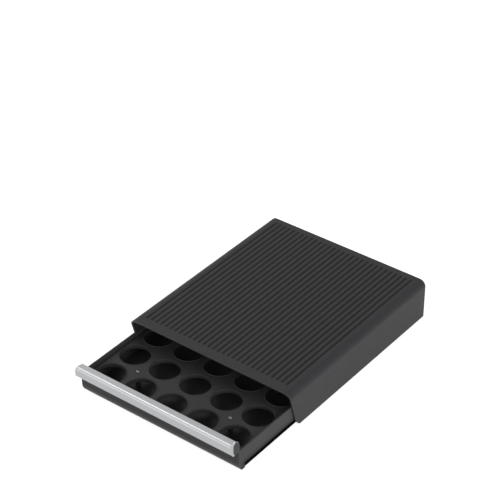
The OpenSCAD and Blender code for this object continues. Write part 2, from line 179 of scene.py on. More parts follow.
def pieceFrom(mesh, name):
    # a new piece with the shape of a bmesh, which is freed
    piece = newPiece(name)
    mesh.to_mesh(piece.data)
    mesh.free()
    return piece


def grow(name, tree, inputs):
    piece = newPiece(name)
    modifier = piece.modifiers.new("nodes", "NODES")
    modifier.node_group = tree
    for item in tree.interface.items_tree:
        if item.in_out == "INPUT":
            modifier[item.identifier] = inputs[item.name]
    return bake(piece)


def collapse(mesh, length):
    # takes out edges shorter than length, in mm
    work = bmesh.new()
    work.from_mesh(mesh)
    bmesh.ops.dissolve_degenerate(work, edges=work.edges, dist=length * mm)
    work.to_mesh(mesh)
    work.free()


smoothing = {
    "flat": 0.6,  # degrees, under which neighbouring faces of the frame's shapes are joined
    "roundFrom": 35,  # degrees, from which an edge is rounded
    "hardFrom": 60,  # degrees, from which an edge stays hard in the shading
    "weight": 60,  # how much the larger faces pull the normals
}


def soften(piece, width, material, segments=2):
    # rounds the hard edges, marks them as rubbed and keeps the flat faces flat
    mesh = piece.data
    mesh.materials.clear()
    mesh.materials.append(material)
    mesh.polygons.foreach_set("material_index", [0] * len(mesh.polygons))
    if width:
        mesh.materials.append(material)
        bevel = piece.modifiers.new("bevel", "BEVEL")
        bevel.width = width * mm
        bevel.segments = segments
        bevel.limit_method = "ANGLE"
        bevel.angle_limit = math.radians(smoothing["roundFrom"])
        bevel.miter_outer = "MITER_ARC"
        bevel.material = 1
        mesh = bake(piece).data
        collapse(mesh, near["rounded"])
        rubbed = [1.0] * len(mesh.vertices)
        for face in mesh.polygons:
            if face.material_index == 0:
                for index in face.vertices:
                    rubbed[index] = 0.0
        mesh.attributes.new("rub", "FLOAT", "POINT").data.foreach_set("value", rubbed)
        mesh.polygons.foreach_set("material_index", [0] * len(mesh.polygons))
        mesh.materials.pop(index=1)
    mesh.shade_smooth()
    mesh.set_sharp_from_angle(angle=math.radians(smoothing["hardFrom"]))
    normals = piece.modifiers.new("normals", "WEIGHTED_NORMAL")
    normals.keep_sharp = True
    normals.weight = smoothing["weight"]
    return bake(piece)


def seat(piece, body, slot, *nodes):
    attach(piece, body)
    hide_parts(*nodes)
    print("made", piece.name, len(piece.data.polygons), "faces")


view = {
    "sensor": 36,  # mm wide
    "lens": 125.47,  # mm
    "place": (1.1527, -1.50895, 1.4822),  # metres
    "turn": 37.58,  # degrees to the left of +Y
    "tilt": 34.51,  # degrees down
}


def addCamera():
    camera = bpy.data.objects.new("camera", bpy.data.cameras.new("camera"))
    scene.collection.objects.link(camera)
    scene.camera = camera
    camera.data.sensor_width = view["sensor"]
    camera.data.lens = view["lens"]
    camera.location = view["place"]
    camera.rotation_euler = (math.radians(90 - view["tilt"]), 0, math.radians(view["turn"]))


addCamera()

light = {
    "sky": 0.17,  # strength of the white world as a light; seen directly it is 1
    "floorReach": 12,  # metres from the middle to an edge
    "floorColor": 0.8,
    "floorRoughness": 0.9,
    "floorGloss": 0.1,
    "floorGlow": 0.8,  # what a camera or a reflection sees added to the floor's own light
    "asideFrom": 0.8,  # a lamp further aside than this, as the cosine to X, has its width along Y
    "lamps": {  # place in metres, width and height in metres, power in watts
        "front": {"place": (-0.7, -2.2, 0.8), "size": (4.4, 2.2), "power": 27},
        "right": {"place": (2.2, -0.45, 0.6), "size": (1.8, 1.8), "power": 34},
        "left": {"place": (-2.4, 0.3, 0.7), "size": (1.6, 1.6), "power": 6.5},
        "overhead": {"place": (-1.02, 0.35, 1.65), "size": (0.5, 1.4), "power": 7.5},
    },
}


def seenDirectly(tree):
    path = addNode(tree, "ShaderNodeLightPath")
    seen = out(tree, path, "Is Camera Ray")
    for kind in ("Is Glossy Ray", "Is Transmission Ray"):
        seen = seen.math("MAXIMUM", out(tree, path, kind))
    return seen


def addWorld():
    world = bpy.data.worlds.new("studio")
    scene.world = world
    world.use_nodes = True
    tree = world.node_tree
    ground = tree.nodes["Background"]
    ground.inputs["Color"].default_value = (1, 1, 1, 1)
    feed(tree, ground.inputs["Strength"], seenDirectly(tree) * (1 - light["sky"]) + light["sky"])


def addLamps():
    for name, lamp in light["lamps"].items():
        data = bpy.data.lights.new(name, "AREA")
        data.shape = "RECTANGLE"
        data.size, data.size_y = lamp["size"]
        data.energy = lamp["power"]
        bulb = bpy.data.objects.new(name, data)
        scene.collection.objects.link(bulb)
        # a lamp faces the object's origin
        away = Vector(lamp["place"]).normalized()
        isAside = abs(away.x) > light["asideFrom"]
        width = Vector((0, 1, 0)) if isAside else Vector((1, 0, 0))
        width = (width - away * width.dot(away)).normalized()
        turn = Matrix((width, away.cross(width), away)).transposed().to_4x4()
        bulb.matrix_world = Matrix.Translation(lamp["place"]) @ turn


def addFloor():
    floor = newPiece("floor")
    reach = light["floorReach"]
    corners = [(-reach, -reach, 0), (reach, -reach, 0), (reach, reach, 0), (-reach, reach, 0)]
    floor.data.from_pydata(corners, [], [(0, 1, 2, 3)])
    material = bpy.data.materials.new("paleFloor")
    material.use_nodes = True
    tree = material.node_tree
    matte = tree.nodes["Principled BSDF"]
    matte.inputs["Base Color"].default_value = (light["floorColor"],) * 3 + (1,)
    matte.inputs["Roughness"].default_value = light["floorRoughness"]
    matte.inputs["Specular IOR Level"].default_value = light["floorGloss"]
    glow = addNode(tree, "ShaderNodeEmission", {"Strength": seenDirectly(tree) * light["floorGlow"]})
    both = addNode(tree, "ShaderNodeAddShader", {0: out(tree, matte), 1: out(tree, glow)})
    feed(tree, tree.nodes["Material Output"].inputs["Surface"], out(tree, both))
    floor.data.materials.append(material)


addWorld()
addLamps()
addFloor()
print("camera, lamps and floor")

# colour, roughness, size and depth of the grain in mm, colour of the grooves (painted shade, darker
# than the rest) and of rubbed edges
finishes = {
    "charcoalPlastic": {"color": (0.047, 0.047, 0.05), "roughness": 0.46, "grain": 0.55, "depth": 0.04,
                        "groove": (0.012, 0.012, 0.0125), "edge": (0.13, 0.13, 0.134)},
    "blackPlastic": {"color": (0.045, 0.045, 0.047), "roughness": 0.42, "grain": 0.4, "depth": 0.03,
                     "edge": (0.11, 0.11, 0.113)},
    "trayPlastic": {"color": (0.054, 0.054, 0.057), "roughness": 0.42, "grain": 0.4, "depth": 0.03,
                    "edge": (0.11, 0.11, 0.113), "hasPaintedShadow": True},
    "frontPlastic": {"color": (0.046, 0.046, 0.048), "roughness": 0.42, "grain": 0.4, "depth": 0.03,
                     "edge": (0.1, 0.1, 0.103)},
    # near-black and glossless: painted shadow for the drawer's foot and underside, not a finish the
    # plastic has
    "paintedShadowPlastic": {"color": (0.004, 0.004, 0.004), "roughness": 0.7, "grain": 0.4, "depth": 0.03,
                     "gloss": 0.0},
    "nylon": {"color": (0.62, 0.61, 0.57), "roughness": 0.4, "grain": 0.8, "depth": 0.02, "gloss": 0.5},
    "slideTape": {"color": (0.56, 0.56, 0.53), "roughness": 0.3, "grain": 0.8, "depth": 0.01,
                  "gloss": 0.5},
    "footRubber": {"color": (0.022, 0.022, 0.022), "roughness": 0.8, "grain": 0.5, "depth": 0.06},
    "brushedSilver": {"color": (0.385, 0.39, 0.395), "roughness": 0.34},
    "screwSteel": {"color": (0.16, 0.16, 0.165), "roughness": 0.38},
}

foot = {  # painted shadow: the near-black foot outside the drawer, standing in for the shade under it; lengths in mm
    "trayTop": 12.4,  # the tray's is full up to this height
    "fadeTop": 21.0,  # and has faded out here
    "strength": 0.85,  # of the fading part
    "frontTop": 5.8,  # the lower front's ends at this height
    "behindFront": 22.1,  # the tray's starts this far behind the front's foremost point
    "slack": 0.5,  # a face of it may reach this far before that
    "lead": 10.0,  # length over which the fading part begins, before that
    "beside": 0.1,  # what lies this much further out than the front's sides is outside
    "besideBand": 0.5,  # width over which that takes effect in the finish
    "downward": -0.3,  # z of the normal under which a face belongs to the underside
}
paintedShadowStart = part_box("drawer_front")[0].y / mm + foot["behindFront"]
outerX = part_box("drawer_front")[1].x / mm + foot["beside"]


def newMaterial(name):
    material = bpy.data.materials.new(name)
    material.use_nodes = True
    tree = material.node_tree
    place = out(tree, addNode(tree, "ShaderNodeTexCoord"), "Object")
    return material, tree, tree.nodes["Principled BSDF"], place


def attribute(tree, name):
    return out(tree, addNode(tree, "ShaderNodeAttribute", attribute_name=name), "Fac")


noiseRoughness = 0.55


def noise(tree, place, size, detail=2.0, stretch=(1, 1, 1)):
    # value noise whose blotches are about size mm across
    mapping = addNode(tree, "ShaderNodeMapping", {"Vector": place, "Scale": stretch})
    texture = addNode(tree, "ShaderNodeTexNoise", {
        "Vector": out(tree, mapping), "Scale": 1 / (size * mm), "Detail": detail,
        "Roughness": noiseRoughness})
    return out(tree, texture, "Fac")


def mixColors(tree, share, *colors):
    node = addNode(tree, "ShaderNodeMix", data_type="RGBA")
    feed(tree, node.inputs[0], share)
    for socket, color in zip(node.inputs[6:8], colors):
        feed(tree, socket, color if isinstance(color, Wire) else (*color, 1))
    return Wire(tree, node.outputs[2])


def addBump(tree, height, depth):
    bump = addNode(tree, "ShaderNodeBump", {"Height": height, "Distance": depth * mm, "Strength": 1.0})
    return out(tree, bump)


def tones(color, shades):
    return [[min(channel * shade, 1) for channel in color] for shade in shades]


plastic = {
    "gloss": 0.1,
    "grainDetail": 3,
    "cloud": 34,  # mm across
    "scuff": 5,
    "scuffDetail": 4,
    "scuffStretch": (1, 0.35, 1),
    "shades": (0.88, 1.14),  # darkest and palest shares of a finish's colour
    "toneMix": (0.6, 0.25, 0.15),  # what the clouds, the grain and the scuffs do to the tone
    "roughMix": (0.12, 0.14),  # what the grain and the scuffs do to the roughness
    "grooveRough": 0.12,  # added in a groove
    "edgeSmooth": 0.1,  # taken off at a rubbed edge
    "edgeRub": 0.35,  # a rubbed edge shows at least this much
}


def paintedFootShadow(tree, place, color):
    # painted shadow: the side walls' outer faces fade to near-black towards the bottom, standing in for
    # the shade under the drawer
    x, y, z = split(tree, place)
    behind = (y - (paintedShadowStart - foot["lead"]) * mm) / (foot["lead"] * mm)
    outside = (x.math("ABSOLUTE") - outerX * mm) / (foot["besideBand"] * mm)
    below = (foot["fadeTop"] * mm - z) / ((foot["fadeTop"] - foot["trayTop"]) * mm)
    share = below.clamped() * behind.clamped() * outside.clamped() * foot["strength"]
    return mixColors(tree, share, color, finishes["paintedShadowPlastic"]["color"])


def mouldedPlastic(name):
    look = finishes[name]
    material, tree, shader, place = newMaterial(name)
    grain = noise(tree, place, look["grain"], plastic["grainDetail"])
    cloud = noise(tree, place, plastic["cloud"])
    scuff = noise(tree, place, plastic["scuff"], plastic["scuffDetail"], plastic["scuffStretch"])
    grainRough, scuffRough = plastic["roughMix"]
    rough = (grain - 0.5) * grainRough + (scuff - 0.5) * scuffRough + look["roughness"]
    cloudTone, grainTone, scuffTone = plastic["toneMix"]
    tone = (cloud * cloudTone + grain * grainTone + scuff * scuffTone).clamped()
    color = mixColors(tree, tone, *tones(look["color"], plastic["shades"]))
    # painted shade: the grooves get a darker colour as well as more roughness
    if "groove" in look:
        dip = attribute(tree, "dip")
        color = mixColors(tree, dip.clamped(), color, look["groove"])
        rough = rough + dip * plastic["grooveRough"]
    if "edge" in look:
        rub = (attribute(tree, "rub") * (scuff + plastic["edgeRub"])).clamped()
        color = mixColors(tree, rub, color, look["edge"])
        rough = rough - rub * plastic["edgeSmooth"]
    # painted shadow: the tray's outer walls fade to near-black at their foot
    if "hasPaintedShadow" in look:
        color = paintedFootShadow(tree, place, color)
    feed(tree, shader.inputs["Base Color"], color)
    feed(tree, shader.inputs["Roughness"], rough)
    shader.inputs["Specular IOR Level"].default_value = look.get("gloss", plastic["gloss"])
    feed(tree, shader.inputs["Normal"], addBump(tree, grain, look["depth"]))
    return material


metal = {
    "streak": 0.3,  # mm across, drawn out along X
    "streakDetail": 3,
    "streakStretch": (0.008, 1, 1),
    "stripe": 1.5,
    "stripeStretch": (0.004, 1, 1),
    "cloud": 45,
    "shades": (0.86, 1.12),
    "toneMix": (0.5, 0.3, 0.2),  # what the streaks, the stripes and the clouds do to the tone
    "roughMix": (0.16, 0.08),  # what the streaks and the stripes do to the roughness
    "depth": 0.008,
}


def brushedMetal(name):
    look = finishes[name]
    material, tree, shader, place = newMaterial(name)
    streak = noise(tree, place, metal["streak"], metal["streakDetail"], metal["streakStretch"])
    stripe = noise(tree, place, metal["stripe"], stretch=metal["stripeStretch"])
    cloud = noise(tree, place, metal["cloud"])
    streakTone, stripeTone, cloudTone = metal["toneMix"]
    tone = (streak * streakTone + stripe * stripeTone + cloud * cloudTone).clamped()
    streakRough, stripeRough = metal["roughMix"]
    rough = (streak - 0.5) * streakRough + (stripe - 0.5) * stripeRough + look["roughness"]
    shader.inputs["Metallic"].default_value = 1
    color = mixColors(tree, tone, *tones(look["color"], metal["shades"]))
    feed(tree, shader.inputs["Base Color"], color)
    feed(tree, shader.inputs["Roughness"], rough)
    feed(tree, shader.inputs["Normal"], addBump(tree, streak, metal["depth"]))
    return material


charcoalPlastic = mouldedPlastic("charcoalPlastic")
blackPlastic = mouldedPlastic("blackPlastic")
trayPlastic = mouldedPlastic("trayPlastic")
frontPlastic = mouldedPlastic("frontPlastic")
nylon = mouldedPlastic("nylon")
slideTape = mouldedPlastic("slideTape")
footRubber = mouldedPlastic("footRubber")
paintedShadowPlastic = mouldedPlastic("paintedShadowPlastic")
brushedSilver = brushedMetal("brushedSilver")
screwSteel = brushedMetal("screwSteel")
print("materials")

cover = {  # mm, degrees and counts
    "shoulder": 10.3,  # outer radius
    "wall": 2.3,
    "top": 2.5,
    "rake": 16.2,  # slant of the walls' front edge
    "sweep": 21.0,  # radius at the foot of that edge
    "sweepHeight": 12.2,
    "grooves": 30,
    "pitch": 8.16,
    "grooveWidth": 4.6,
    "grooveDepth": 0.7,
    "frontMargin": 15.5,
    "rearMargin": 9.5,
    "underRibs": 7,
    "ribThickness": 1.6,
    "ribDrop": 4.0,
    "ribInset": 18.65,  # from the wall's outer face to a rib's end
    "ribSink": 0.02,  # added to a rib's height, so that it runs into the top
    "bosses": 4,
    "bossPitch": 52.3,
    "bossRadius": 2.9,
    "bossLength": 15.0,
    "bossDrop": 5.3,  # from the top down to the middle of a boss
    "bossSides": 32,
    "rim": 0.9,  # outermost row of faces, wider than the rounding of the edges
    "edge": 0.4,
    "edgeSteps": 3,
    "wallSteps": 10,
    "shoulderSteps": 12,
    "besideSteps": 3,  # between a shoulder and the grooves
    "grooveSteps": 16,  # over one pitch
    "lengthSteps": [1, 5, 8, 14, 8, 4, 1],  # rim, margin, run-out, middle, run-out, margin, rim
}


def shares(along, counts):
    # one clamped 0 to 1 value for each stretch of a run that is counted in steps
    starts = [sum(counts[:i]) for i in range(len(counts))]
    return [((along - start) / count).clamped() for start, count in zip(starts, counts)]


def coverInputs():
    low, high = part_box("housing_cover")
    lengths = {
        "Shoulder": "shoulder", "Wall": "wall", "Top thickness": "top", "Sweep": "sweep",
        "Sweep height": "sweepHeight", "Pitch": "pitch", "Groove width": "grooveWidth",
        "Groove depth": "grooveDepth", "Front margin": "frontMargin", "Rear margin": "rearMargin",
        "Rim": "rim", "Rib thickness": "ribThickness", "Rib drop": "ribDrop", "Rib inset": "ribInset",
        "Rib sink": "ribSink", "Boss pitch": "bossPitch", "Boss radius": "bossRadius",
        "Boss length": "bossLength", "Boss drop": "bossDrop",
    }
    inputs = {label: cover[key] * mm for label, key in lengths.items()}
    inputs.update({
        "Half width": high.x, "Bottom": low.z, "Top": high.z, "Front": low.y, "Back": high.y,
        "Rake": math.tan(math.radians(cover["rake"])), "Grooves": cover["grooves"],
        "Under ribs": cover["underRibs"], "Bosses": cover["bosses"],
        "Boss end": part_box("rear_panel")[0].y, "Material": charcoalPlastic,
    })
    return inputs


def alongTop(wires, along):
    # distance of a row of points from the top's front edge
    rim, runOut = wires["Rim"], wires["Groove width"] * 0.5
    frontMargin, rearMargin = wires["Front margin"], wires["Rear margin"]
    middle = wires["Back"] - wires["Front"] - frontMargin - rearMargin - runOut * 2
    lengths = [rim, frontMargin - rim, runOut, middle, runOut, rearMargin - rim, rim]
    return sum(share * length for share, length in zip(along, lengths))


def frontShift(wires, z):
    # how far the walls' front edge stands back at a height: a slant, with an arc at its foot
    rake, sweep = wires["Rake"], wires["Sweep"]
    slantEnd = wires["Bottom"] + wires["Sweep height"]
    rakeCos = (rake * rake + 1).math("INVERSE_SQRT")
    arcZ = slantEnd + sweep * rake * rakeCos
    arcShift = (wires["Top"] - slantEnd) * rake + sweep * rakeCos
    fall = z - arcZ
    arc = arcShift - (sweep * sweep - fall * fall).math("SQRT")
    slant = (wires["Top"] - z) * rake
    return slant + z.math("LESS_THAN", slantEnd) * (arc - slant)


def archSkin(wires, across, run, inset, topDrop):
    # the arch of wall, shoulder, top, shoulder and wall, inset from the outer one
    rimUp, wallUp, leftTurn, leftFlat, field, rightFlat, rightTurn, wallDown, rimDown = across
    rim = wires["Rim"]
    radius = wires["Shoulder"] - inset
    fieldHalf = wires["Pitch"] * wires["Grooves"] * 0.5
    flat = wires["Half width"] - wires["Shoulder"] - fieldHalf
    wallHeight = wires["Top"] - topDrop - radius - wires["Bottom"]
    up = rimUp * rim + wallUp * (wallHeight - rim)
    down = rimDown * rim + wallDown * (wallHeight - rim)
    left, right = leftTurn * (math.pi / 2), rightTurn * (math.pi / 2)
    x = (radius * (1 - left.math("COSINE")) - (wires["Half width"] - inset)
         + (leftFlat + rightFlat) * flat + field * fieldHalf * 2 + radius * right.math("SINE"))
    z = wires["Bottom"] + up + radius * left.math("SINE") - radius * (1 - right.math("COSINE")) - down
    depth = wires["Back"] - wires["Front"]
    y = wires["Front"] + run + frontShift(wires, z) * (1 - run / depth)
    return x, y, z


def grooveDip(wires, x, y, z):
    # grooves are capsules of parabolic section, with a ridge on the middle line
    runOut = wires["Groove width"] * 0.5
    beside = ((x / wires["Pitch"]).math("FRACT") - 0.5).math("ABSOLUTE") * wires["Pitch"]
    firstY = wires["Front"] + wires["Front margin"] + runOut
    lastY = wires["Back"] - wires["Rear margin"] - runOut
    beyond = (firstY - y).math("MAXIMUM", y - lastY).math("MAXIMUM", 0.0)
    reach = ((beside * beside + beyond * beyond).math("SQRT") / runOut).clamped()
    isInField = x.math("ABSOLUTE").math("LESS_THAN", wires["Pitch"] * wires["Grooves"] * 0.5)
    isOnTop = z.math("GREATER_THAN", wires["Top"] - near["grown"] * mm)
    return (1 - reach * reach) * isInField * isOnTop


def coverShell(tree, wires):
    # a grid is laid out as the outer skin, and a copy of it as the inner one
    side = [1, cover["wallSteps"], cover["shoulderSteps"], cover["besideSteps"]]
    widthSteps = side + [cover["grooves"] * cover["grooveSteps"]] + side[::-1]
    lengthSteps = cover["lengthSteps"]
    grid = addNode(tree, "GeometryNodeMeshGrid", {"Size X": 1.0, "Size Y": 1.0,
                                                  "Vertices X": sum(widthSteps) + 1,
                                                  "Vertices Y": sum(lengthSteps) + 1})
    gridX, gridY = pointPlaces(tree)[:2]
    across = shares((gridX + 0.5) * sum(widthSteps), widthSteps)
    run = alongTop(wires, shares((gridY + 0.5) * sum(lengthSteps), lengthSteps))
    x, y, z = archSkin(wires, across, run, 0.0, 0.0)
    dip = grooveDip(wires, x, y, z)
    innerPlace = xyz(tree, *archSkin(wires, across, run, wires["Wall"], wires["Top thickness"]))

    capture = addNode(tree, "GeometryNodeCaptureAttribute")
    capture.capture_items.new("VECTOR", "inner")
    capture.capture_items.new("FLOAT", "dip")
    for key, value in {"Geometry": out(tree, grid), "inner": innerPlace, "dip": dip}.items():
        feed(tree, capture.inputs[key], value)
    kept = {"Geometry": out(tree, capture, "Geometry"), "Name": "dip",
            "Value": out(tree, capture, "dip")}
    store = addNode(tree, "GeometryNodeStoreNamedAttribute", kept, data_type="FLOAT", domain="POINT")
    outer = addNode(tree, "GeometryNodeSetPosition", {
        "Geometry": out(tree, store), "Position": xyz(tree, x, y, z - dip * wires["Groove depth"])})
    shell = addNode(tree, "GeometryNodeExtrudeMesh", {"Mesh": out(tree, outer), "Offset Scale": 0.0,
                                                      "Individual": False}, mode="FACES")
    inner = addNode(tree, "GeometryNodeSetPosition", {"Geometry": out(tree, shell, "Mesh"),
                                                      "Selection": out(tree, shell, "Top"),
                                                      "Position": out(tree, capture, "inner")})
    turned = addNode(tree, "GeometryNodeFlipFaces", {"Mesh": out(tree, inner)})
    skins = addNode(tree, "GeometryNodeJoinGeometry")
    for skin in (outer, turned):
        feed(tree, skins.inputs[0], out(tree, skin))
    return out(tree, addNode(tree, "GeometryNodeMergeByDistance", {"Geometry": out(tree, skins),
                                                                   "Distance": near["grown"] * mm}))


def stiffeningRibs(tree, wires):
    # under the top, from side to side
    step = (wires["Back"] - wires["Front"]) / (wires["Under ribs"] + 1)
    ceiling = wires["Top"] - wires["Top thickness"]
    first = xyz(tree, 0.0, wires["Front"] + step, ceiling - wires["Rib drop"] * 0.5)
    size = xyz(tree, (wires["Half width"] - wires["Rib inset"]) * 2, wires["Rib thickness"],
               wires["Rib drop"] + wires["Rib sink"])
    rib = addNode(tree, "GeometryNodeMeshCube", {"Size": size})
    line = lineOf(tree, wires["Under ribs"], first, xyz(tree, 0.0, step, 0.0))
    return copiesOn(tree, line, out(tree, rib))


def screwBosses(tree, wires):
    # for the rear panel's screws, lying along Y
    boss = addNode(tree, "GeometryNodeMeshCylinder", {"Vertices": cover["bossSides"],
                                                      "Radius": wires["Boss radius"],
                                                      "Depth": wires["Boss length"]})
    first = xyz(tree, (wires["Bosses"] - 1) * wires["Boss pitch"] * -0.5,
                wires["Boss end"] - wires["Boss length"] * 0.5, wires["Top"] - wires["Boss drop"])
    line = lineOf(tree, wires["Bosses"], first, xyz(tree, wires["Boss pitch"], 0.0, 0.0))
    return copiesOn(tree, line, out(tree, boss), (math.pi / 2, 0, 0))


def coverTree(inputs):
    tree, wires = newTree("ribbedCover", inputs)
    parts = addNode(tree, "GeometryNodeJoinGeometry")
    for part in (coverShell(tree, wires), stiffeningRibs(tree, wires), screwBosses(tree, wires)):
        feed(tree, parts.inputs[0], part)
    closeTree(tree, wires, out(tree, parts))
    return tree


coverValues = coverInputs()
ribbedCover = grow("ribbed_cover", coverTree(coverValues), coverValues)
soften(ribbedCover, cover["edge"], charcoalPlastic, segments=cover["edgeSteps"])
seat(ribbedCover, "housing", "charcoal_plastic", "housing_cover")


def paintShadow(piece, height, start):
    # painted shadow: outer faces under a height and behind start get the near-black, glossless material
    # that stands in for the shade of the underside
    mesh = piece.data
    mesh.materials.append(paintedShadowPlastic)
    for face in mesh.polygons:
        corners = [mesh.vertices[index].co for index in face.vertices]
        isOuter = face.normal.z < foot["downward"] or abs(face.center.x) > outerX * mm
        isLow = max(corner.z for corner in corners) < (height + near["plane"]) * mm
        isBehind = min(corner.y for corner in corners) > start * mm
        if isOuter and isLow and isBehind:
            face.material_index = 1


def refine(name, material, body, slot, node, edge=0.3, under=None, start=-math.inf):
    # a copy of the frame's own shape with rounded edges; outside it gets painted shadow in near-black
    # up to the height under, behind start
    mesh = bmesh.new()
    mesh.from_mesh(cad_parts[node].data)
    bmesh.ops.remove_doubles(mesh, verts=mesh.verts, dist=near["cadPoints"] * mm)
    bmesh.ops.dissolve_limit(mesh, angle_limit=math.radians(smoothing["flat"]), verts=mesh.verts,
                             edges=mesh.edges, delimit={"NORMAL"})
    if under:
        everything = mesh.verts[:] + mesh.edges[:] + mesh.faces[:]
        bmesh.ops.bisect_plane(mesh, geom=everything, dist=near["plane"] * mm,
                               plane_co=(0, 0, under * mm), plane_no=(0, 0, 1))
    piece = pieceFrom(mesh, name)
    soften(piece, edge, material)
    if under:
        paintShadow(piece, under, start)
    seat(piece, body, slot, node)


refine("rear_cover", charcoalPlastic, "housing", "charcoal_plastic", "rear_panel")
refine("floor_panel", blackPlastic, "housing", "black_plastic", "base_panel")
refine("runner_tape_left", slideTape, "housing", "slide_tape", "left_runner", edge=0.1)
refine("runner_tape_right", slideTape, "housing", "slide_tape", "right_runner", edge=0.1)
refine("keeper_left", blackPlastic, "housing", "black_plastic", "left_keeper_rail")
refine("keeper_right", blackPlastic, "housing", "black_plastic", "right_keeper_rail")
# the tray's foot and the lower front's toe get painted shadow up to the height under
refine("tray", trayPlastic, "drawer", "black_plastic", "drawer_tray", under=foot["trayTop"],
       start=paintedShadowStart - foot["slack"])
refine("lower_front", frontPlastic, "drawer", "black_plastic", "drawer_front", under=foot["frontTop"])
refine("strip_plug", blackPlastic, "drawer", "black_plastic", "left_end_cap", edge=0.2)
refine("glides_left", nylon, "drawer", "nylon", "left_glides", edge=0.15)
refine("glides_right", nylon, "drawer", "nylon", "right_glides", edge=0.15)

strip = {  # mm
    "metal": 1.0,  # thickness
    "hem": 2.4,  # how far the foot turns back under the lip
    "height": 14.3,  # lower edge to the corner between face and top
    "fall": 2.8,  # of the top, from that corner to the rear
    "footRadius": 0.9,
    "footInner": 0.5,  # how much of the inset that radius loses inwards
    "faceRadius": 4.0,
    "rearRadius": 1.4,
    "leastRadius": 0.4,
    "legLift": 0.9,  # the rear leg ends this much above the lower edge
    "earFrontRadius": 4.8,
    "earRearRadius": 8.5,
    "earDepth": 13.3,
    "rim": 0.75,  # metal in front of the post
    "rimEnd": 6.8,  # how far back the rim runs, from the face
    "rimTip": 0.2,  # what is left of its thickness there
    "rimRound": 0.2,  # length of its rounded end
    "rimRoundShare": 0.25,  # share of its thickness that the end loses
    "rimSink": 0.4,  # how far the rim starts inside the ear
    "rimSinkShare": 0.5,  # share of its thickness that is missing there
    "postLean": 2.0,  # how far back the post's front stands at the foot
    "ramp": 4.2,  # length over which the strip rises into the ear
    "rampSteps": 12,
    "earInner": 129.7,  # x of the ear's inner face
    "pocket": 1.65,  # how deep the post sits in the rim
    "shoulder": (125.2, 51.9, 7.7),  # x, z and radius that the housing leaves free
    "steps": 7,  # round a corner
}


def bend(corners):
    # an open path through (y, z, radius) corners
    path = [Vector(corners[0][:2])]
    for last, here, ahead in zip(corners, corners[1:], corners[2:]):
        middle = Vector(here[:2])
        toLast = (Vector(last[:2]) - middle).normalized()
        toNext = (Vector(ahead[:2]) - middle).normalized()
        half = toLast.angle(toNext) / 2
        centre = middle + (toLast + toNext).normalized() * here[2] / math.sin(half)
        first = middle + toLast * here[2] / math.tan(half) - centre
        final = middle + toNext * here[2] / math.tan(half) - centre
        turn = first.angle(final)
        for step in range(strip["steps"] + 1):
            share = step / strip["steps"]
            spoke = first * math.sin(turn * (1 - share)) + final * math.sin(turn * share)
            path.append(centre + spoke / math.sin(turn))
    return path + [Vector(corners[-1][:2])]


def blend(path, other, share):
    return [spot.lerp(goal, share) for spot, goal in zip(path, other)]


def clearShoulder(x, z):
    # pulls a point in where the housing's rounded shoulder would meet it
    shoulderX, shoulderZ, reach = strip["shoulder"]
    away = Vector((x - shoulderX, z - shoulderZ))
    if min(away) > 0 and away.length > reach:
        away *= reach / away.length
        return shoulderX + away.x, shoulderZ + away.y
    return x, z


def addLoft(mesh, sections):
    # a closed shell through sections: each is an x with an outer and an inner path, which have as many
    # (y, z) points as each other
    rows = []
    for x, outer, inner in sections:
        row = []
        for y, z in outer + inner[::-1]:
            clearX, clearZ = clearShoulder(x, z)
            row.append(mesh.verts.new((clearX * mm, y * mm, clearZ * mm)))
        rows.append(row)
    count = len(rows[0])
    for row, following in zip(rows, rows[1:]):
        for k in range(count):
            mesh.faces.new((row[k], row[(k + 1) % count], following[(k + 1) % count], following[k]))
    for row in (rows[0], rows[-1]):
        for k in range(count // 2 - 1):
            mesh.faces.new((row[k], row[k + 1], row[count - 2 - k], row[count - 1 - k]))
    allPoints = [vert for row in rows for vert in row]
    bmesh.ops.remove_doubles(mesh, verts=allPoints, dist=near["loft"] * mm)


def barCorners(inset):
    # the strip's own section, or the channel that runs inside it
    low, high = [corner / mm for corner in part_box("handle_strip")]
    face, back, bottom = low.y, high.y, low.z
    slope = strip["fall"] / (back - face)
    edge = bottom + strip["height"] - inset * math.hypot(1, slope)
    footRadius = strip["footRadius"] - strip["footInner"] * inset
    rearRadius = max(strip["rearRadius"] - inset, strip["leastRadius"])
    return [(face + strip["hem"], bottom + inset, 0), (face + inset, bottom + inset, footRadius),
            (face + inset, edge - inset * slope, strip["faceRadius"] - inset),
            (back - inset, edge - (back - face - inset) * slope, rearRadius),
            (back - inset, bottom + strip["legLift"], 0)]


